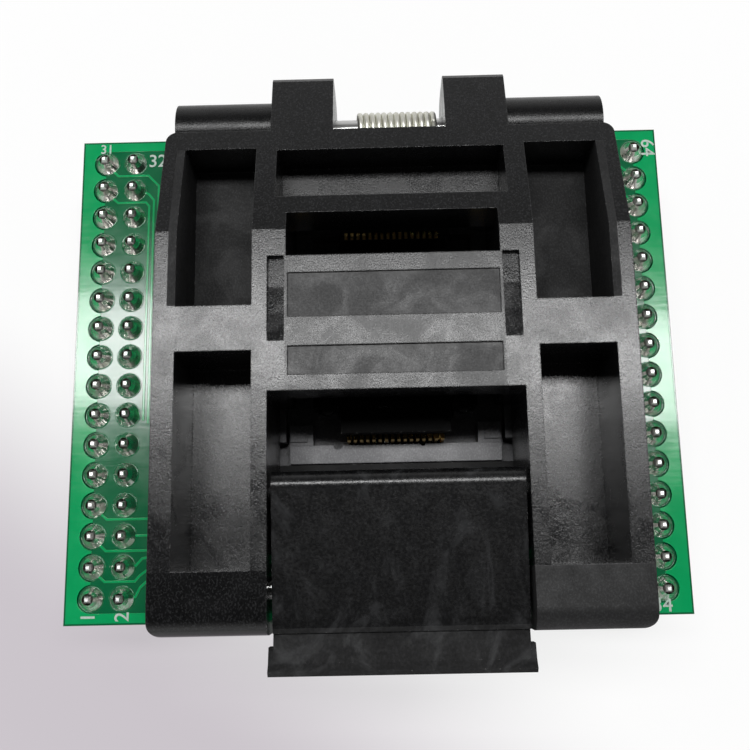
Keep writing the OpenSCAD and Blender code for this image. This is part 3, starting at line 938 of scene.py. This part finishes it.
@dataclass
class AdapterBoard:
    """Print and copper of the adapter board."""

    finishes: Finishes
    pitch: float = 2.54 * MM
    rows: int = 16
    span: float = 44.45 * MM
    track_width: float = 0.24 * MM
    track_height: float = 0.04 * MM
    pour_height: float = 0.03 * MM
    print_height: float = 0.02 * MM
    sink: float = 0.01 * MM
    pad_clear: float = 1.16 * MM
    pour_inset: float = 0.15 * MM
    pour_lip: float = 0.10 * MM
    scallop_steps: int = 10
    rim_inside: float = 0.96 * MM
    rim_crest: float = 1.02 * MM
    rim_shoulder: float = 1.08 * MM
    rim_outside: float = 1.12 * MM
    rim_rise: float = 0.035 * MM
    rim_wobble: float = 0.02
    letter_size: float = 1.656 * MM
    letter_weight: float = 0.012 * MM
    top: float = field(init=False)
    low: Vector = field(init=False)
    high: Vector = field(init=False)

    def __post_init__(self) -> None:
        """Reads the board's box from the frame."""
        self.low, self.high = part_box("circuit_board")
        self.top = self.high.z

    def pin(self, side: int, inner: bool, row: int) -> Pair:
        """Where a pin stands.

        Args:
            side: -1 for the left header, 1 for the right one.
            inner: Whether it is in the column next to the socket.
            row: Its row, from the front.

        Returns:
            X and Y.
        """
        half = self.pitch / 2
        x = side * (self.span / 2 + (-half if inner else half))
        return x, (row - (self.rows - 1) / 2) * self.pitch

    def tracks(self) -> None:
        """Lays the tracks from the pins towards the socket, the right side turned half about."""
        mesh = bmesh.new()
        low, high = self.top - self.sink, self.top + self.track_height
        for turn in (1, -1):
            for route in ROUTES:
                x, y = self.pin(-1, route.inner, route.row)
                path = [(turn * x, turn * y)]
                path += [(turn * (x + a * self.pitch), turn * (y + b * self.pitch))
                         for a, b in route.steps]
                add_ribbon(mesh, path, self.track_width, low, high)
        finish_piece(piece_from("board_tracks", mesh), self.finishes.track, Body.BASE)

    def scallops(self, side: int) -> List[Pair]:
        """The wavy inner edge of a side's copper strip, round the outer pads.

        Args:
            side: -1 for the left strip, 1 for the right one.

        Returns:
            Its points, from the front to the rear.
        """
        reach = math.degrees(math.acos(self.pour_lip / self.pad_clear))
        points: List[Pair] = []
        for row in range(self.rows):
            x, y = self.pin(side, False, row)
            for n in range(self.scallop_steps + 1):
                a = math.radians(-reach + 2 * reach * n / self.scallop_steps)
                points.append((x + side * self.pad_clear * math.cos(a), y + self.pad_clear * math.sin(a)))
        return points

    def pours(self) -> None:
        """Lays the copper strips along all four edges, scalloped round the outer pads."""
        mesh = bmesh.new()
        low, high = self.top - self.sink, self.top + self.pour_height
        front, rear = self.low.y + self.pour_inset, self.high.y - self.pour_inset
        lip = self.pin(1, False, 0)[0] + self.pour_lip
        edge = self.high.x - self.pour_inset
        add_prism(mesh, [(-lip, front), *self.scallops(-1), (-lip, rear), (-edge, rear), (-edge, front)],
                  low, high)
        add_prism(mesh, [(lip, front), (edge, front), (edge, rear), (lip, rear),
                         *reversed(self.scallops(1))], low, high)
        front_pads = self.pin(1, False, 0)[1] - self.pad_clear
        rear_pads = self.pin(1, False, self.rows - 1)[1] + self.pad_clear
        for y0, y1 in ((front, front_pads), (rear_pads, rear)):
            add_prism(mesh, [(-lip, y0), (lip, y0), (lip, y1), (-lip, y1)], low, high)
        bmesh.ops.triangulate(mesh, faces=mesh.faces[:])
        bmesh.ops.recalc_face_normals(mesh, faces=mesh.faces[:])
        finish_piece(piece_from("board_edge_copper", mesh), self.finishes.track, Body.BASE)

    def rim(self, face: float, way: int) -> List[Pair]:
        """The section of a pad's raised rim.

        Args:
            face: Height of the board's face.
            way: 1 on the top, -1 on the underside.

        Returns:
            Radius and height of each corner.
        """
        rise = way * self.rim_rise
        return [(self.rim_inside, face - rise), (self.rim_outside, face - rise),
                (self.rim_shoulder, face + rise * 0.8), (self.rim_crest, face + rise),
                (self.rim_inside, face + rise * 0.7)]

    def pads(self) -> None:
        """Adds the raised rim of mask round every pad, on both sides of the board."""
        mesh = bmesh.new()
        for side in (-1, 1):
            for inner in (False, True):
                for row in range(self.rows):
                    x, y = self.pin(side, inner, row)
                    for face, way in ((self.top, 1), (self.low.z, -1)):
                        add_ring(mesh, x, y, self.rim(face, way), wobble=self.rim_wobble)
        finish_piece(piece_from("pad_rims", mesh), self.finishes.mask, Body.BASE, True)

    def number(self, plan: PinNumber) -> None:
        """Prints one number.

        Args:
            plan: What it says and where it stands.
        """
        curve = bpy.data.curves.new("digits", "FONT")
        curve.body = plan.text
        curve.size = self.letter_size * plan.share
        curve.align_x, curve.align_y = "CENTER", "CENTER"
        curve.extrude = self.print_height / 2
        curve.offset = self.letter_weight
        curve.resolution_u = 4
        draft = bpy.data.objects.new("digits_draft", curve)
        bpy.context.scene.collection.objects.link(draft)
        bpy.context.view_layer.update()
        drawn = draft.evaluated_get(bpy.context.evaluated_depsgraph_get())
        data = bpy.data.meshes.new_from_object(drawn)
        bpy.data.objects.remove(draft)
        x, y = self.pin(plan.side, plan.inner, self.rows - 1 if plan.rear else 0)
        place = (x + plan.shift[0] * MM, y + plan.shift[1] * MM,
                 self.top + self.pour_height + self.print_height / 2)
        data.transform(Matrix.Translation(place) @ Matrix.Rotation(math.radians(plan.turn), 4, "Z"))
        obj = bpy.data.objects.new("pin_number_" + plan.text, data)
        bpy.context.scene.collection.objects.link(obj)
        finish_piece(obj, self.finishes.ink, Body.BASE)

    def build(self) -> None:
        """Builds everything on the board."""
        self.tracks()
        self.pours()
        self.pads()
        for plan in NUMBERS:
            self.number(plan)


# ---------------------------------------------------------------- the springs


@dataclass
class LidSpring:
    """The torsion spring in two pieces, so that its lid leg follows the lid."""

    finishes: Finishes
    wire: float = 0.25 * MM
    turns: float = 12.5
    steps: int = 36
    leg: float = 3.4 * MM
    coil_share: float = 0.98
    leg_share: float = 0.96
    leg_start: float = 0.05 * MM

    def build(self) -> None:
        """Builds the coil with its base leg, and the lid leg."""
        low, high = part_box("lid_spring")
        shaft_low, shaft_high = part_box("hinge_shaft")
        axis_y = (shaft_low.y + shaft_high.y) / 2
        axis_z = (shaft_low.z + shaft_high.z) / 2
        mean = (high.z - axis_z) - self.wire
        x0, x1 = low.x + self.wire, high.x - self.wire
        path = [Vector((x0, axis_y - self.leg, axis_z - mean)),
                Vector((x0, axis_y - self.leg * 0.4, axis_z - mean))]
        count = self.turns * self.steps
        for i in range(int(count) + 1):
            a = 2 * math.pi * i / self.steps
            path.append(Vector((x0 + (x1 - x0) * i / count, axis_y + mean * math.sin(a),
                                axis_z - mean * math.cos(a))))
        mesh = bmesh.new()
        add_tube(mesh, path, self.wire * self.coil_share)
        coil = finish_piece(piece_from("spring_coil", mesh), self.finishes.wire, Body.BASE,
                            True)
        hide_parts("lid_spring")
        mesh = bmesh.new()
        add_tube(mesh, [Vector((x1, axis_y + self.leg_start, axis_z + mean)),
                        Vector((x1, axis_y - self.leg * 0.5, axis_z + mean)),
                        Vector((x1, axis_y - self.leg, axis_z + mean))], self.wire * self.leg_share)
        finish_piece(piece_from("spring_lid_leg", mesh), self.finishes.wire, Body.LID, True)


@dataclass
class PressedSprings:
    """Small coil springs that stand between two bodies."""

    finishes: Finishes
    node: str
    held_by: Body
    pressed_by: Body
    held_at_top: bool
    coil_radius: float
    wire: float
    turns: int
    rows: int
    closed: float = 0.75
    steps: int = 28
    wire_share: float = 0.97

    def helix(self, x: float, y: float, low: float, high: float) -> List[Vector]:
        """The middle line of one spring.

        Args:
            x: Place of its axis.
            y: Place of its axis.
            low: Height of its lower end.
            high: Height of its upper end.

        Returns:
            The points, with part of a flat turn at each end.
        """
        path = []
        for i in range(int((self.turns + self.closed) * self.steps) + 1):
            turn = i / self.steps
            rise = min(max((turn - self.closed / 2) / self.turns, 0.0), 1.0)
            a = 2 * math.pi * turn
            path.append(Vector((x + self.coil_radius * math.cos(a), y + self.coil_radius * math.sin(a),
                                low + self.wire + (high - low - 2 * self.wire) * rise)))
        return path

    def build(self) -> None:
        """Builds the springs at the corners of the solid ones and hides those."""
        low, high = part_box(self.node)
        reach = self.coil_radius + self.wire
        depths = (low.y + reach, high.y - reach)[:self.rows]
        mesh = bmesh.new()
        for x in (low.x + reach, high.x - reach):
            for y in depths:
                add_tube(mesh, self.helix(x, y, low.z, high.z), self.wire * self.wire_share, 10)
        springs = finish_piece(piece_from(self.node + "_wound", mesh), self.finishes.wire, None,
                               True)
        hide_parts(self.node)
        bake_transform(springs)


# ---------------------------------------------------------------- studio


def facing(place: Point, aim: Point, roll: float) -> Matrix:
    """How a camera or a lamp stands.

    Args:
        place: Where it is.
        aim: What it looks at.
        roll: How far it is turned about its own axis, in degrees.

    Returns:
        Its matrix, its upper side towards the rear.
    """
    back = (Vector(place) - Vector(aim)).normalized()
    right = Vector((0, 1, 0)).cross(back).normalized()
    frame = Matrix((right, back.cross(right), back)).transposed().to_4x4()
    return Matrix.Translation(place) @ frame @ Matrix.Rotation(math.radians(roll), 4, "Z")


@dataclass
class Studio:
    """Floor, room, lamp and camera."""

    eye: Point = (0.92 * MM, -16.28 * MM, 82.21 * MM)
    aim: Point = (0.174 * MM, -0.803 * MM, 4.14 * MM)
    roll: float = -1.148
    lens: float = 44.604
    floor_size: float = 1.6
    lamp_place: Point = (0.0, 0.129, 0.60)
    lamp_length: float = 0.54
    lamp_width: float = 0.083
    lamp_power: float = 2.4
    lamp_turn: float = -3.0
    side_light: float = 0.70
    top_light: float = 0.05
    dimming: Pair = (0.15, 0.82)
    backdrop: Colour = (0.8, 0.8, 0.8)

    def camera(self) -> None:
        """Sets the camera over the socket, looking a little to the rear."""
        data = bpy.data.cameras.new("camera")
        data.lens = self.lens
        data.sensor_width = 36.0
        data.clip_start, data.clip_end = 0.005, 10.0
        obj = bpy.data.objects.new("camera", data)
        obj.matrix_world = facing(self.eye, self.aim, self.roll)
        bpy.context.scene.collection.objects.link(obj)
        bpy.context.scene.camera = obj

    def lamp(self) -> None:
        """Hangs the long lamp behind and above the socket, facing the middle of the board."""
        data = bpy.data.lights.new("tube_lamp", "AREA")
        data.shape = "RECTANGLE"
        data.size, data.size_y = self.lamp_length, self.lamp_width
        data.energy = self.lamp_power
        obj = bpy.data.objects.new("tube_lamp", data)
        obj.matrix_world = facing(self.lamp_place, (0.0, 0.0, 0.0), self.lamp_turn)
        bpy.context.scene.collection.objects.link(obj)

    def floor(self) -> None:
        """Lays the pale floor under the pins."""
        low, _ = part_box("header_pins_left")
        mesh = bmesh.new()
        bmesh.ops.create_grid(mesh, x_segments=8, y_segments=8, size=self.floor_size / 2)
        obj = piece_from("floor", mesh)
        obj.location.z = low.z
        obj.data.materials.append(Paper().build())

    def world(self) -> None:
        """Gives the room its soft light, dim overhead and pale near the floor."""
        world = bpy.data.worlds.new("room")
        bpy.context.scene.world = world
        world.use_nodes = True
        room = Nodes(world.node_tree)
        where = room.node("ShaderNodeTexCoord").outputs["Generated"]
        height = Signal(room, room.node("ShaderNodeSeparateXYZ", {}, {0: where}).outputs["Z"])
        strength = height.fade(*self.dimming) * (self.top_light - self.side_light) + self.side_light
        sky = room.node("ShaderNodeBackground", {}, {"Color": (1.0, 1.0, 1.0), "Strength": strength})
        pale = room.node("ShaderNodeBackground", {}, {"Color": self.backdrop, "Strength": 1.0})
        seen = room.mixed(room.camera_ray(), sky.outputs[0], pale.outputs[0])
        room.node("ShaderNodeOutputWorld", {}, {"Surface": seen})

    def build(self) -> None:
        """Sets up the whole studio."""
        self.floor()
        self.world()
        self.lamp()
        self.camera()
        bpy.context.scene.view_settings.view_transform = "Standard"


# ---------------------------------------------------------------- main


def main(frame: Dict[str, Any]) -> None:
    """Builds every class in order.
    """
    logging.basicConfig(level=logging.INFO, format="%(name)s: %(message)s")
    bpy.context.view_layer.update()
    finishes = Finishes()
    SolidParts(frame["nodes"], finishes).dress()
    AdapterBoard(finishes).build()
    LidSpring(finishes).build()
    PressedSprings(finishes, "pusher_springs", Body.LID, Body.PUSHER, held_at_top=True,
                   coil_radius=0.85 * MM, wire=0.16 * MM, turns=4, rows=2).build()
    PressedSprings(finishes, "latch_springs", Body.LID, Body.LATCH, held_at_top=False,
                   coil_radius=1.1 * MM, wire=0.18 * MM, turns=5, rows=1).build()
    Studio().build()


if __name__ == "__main__":
    main(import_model())
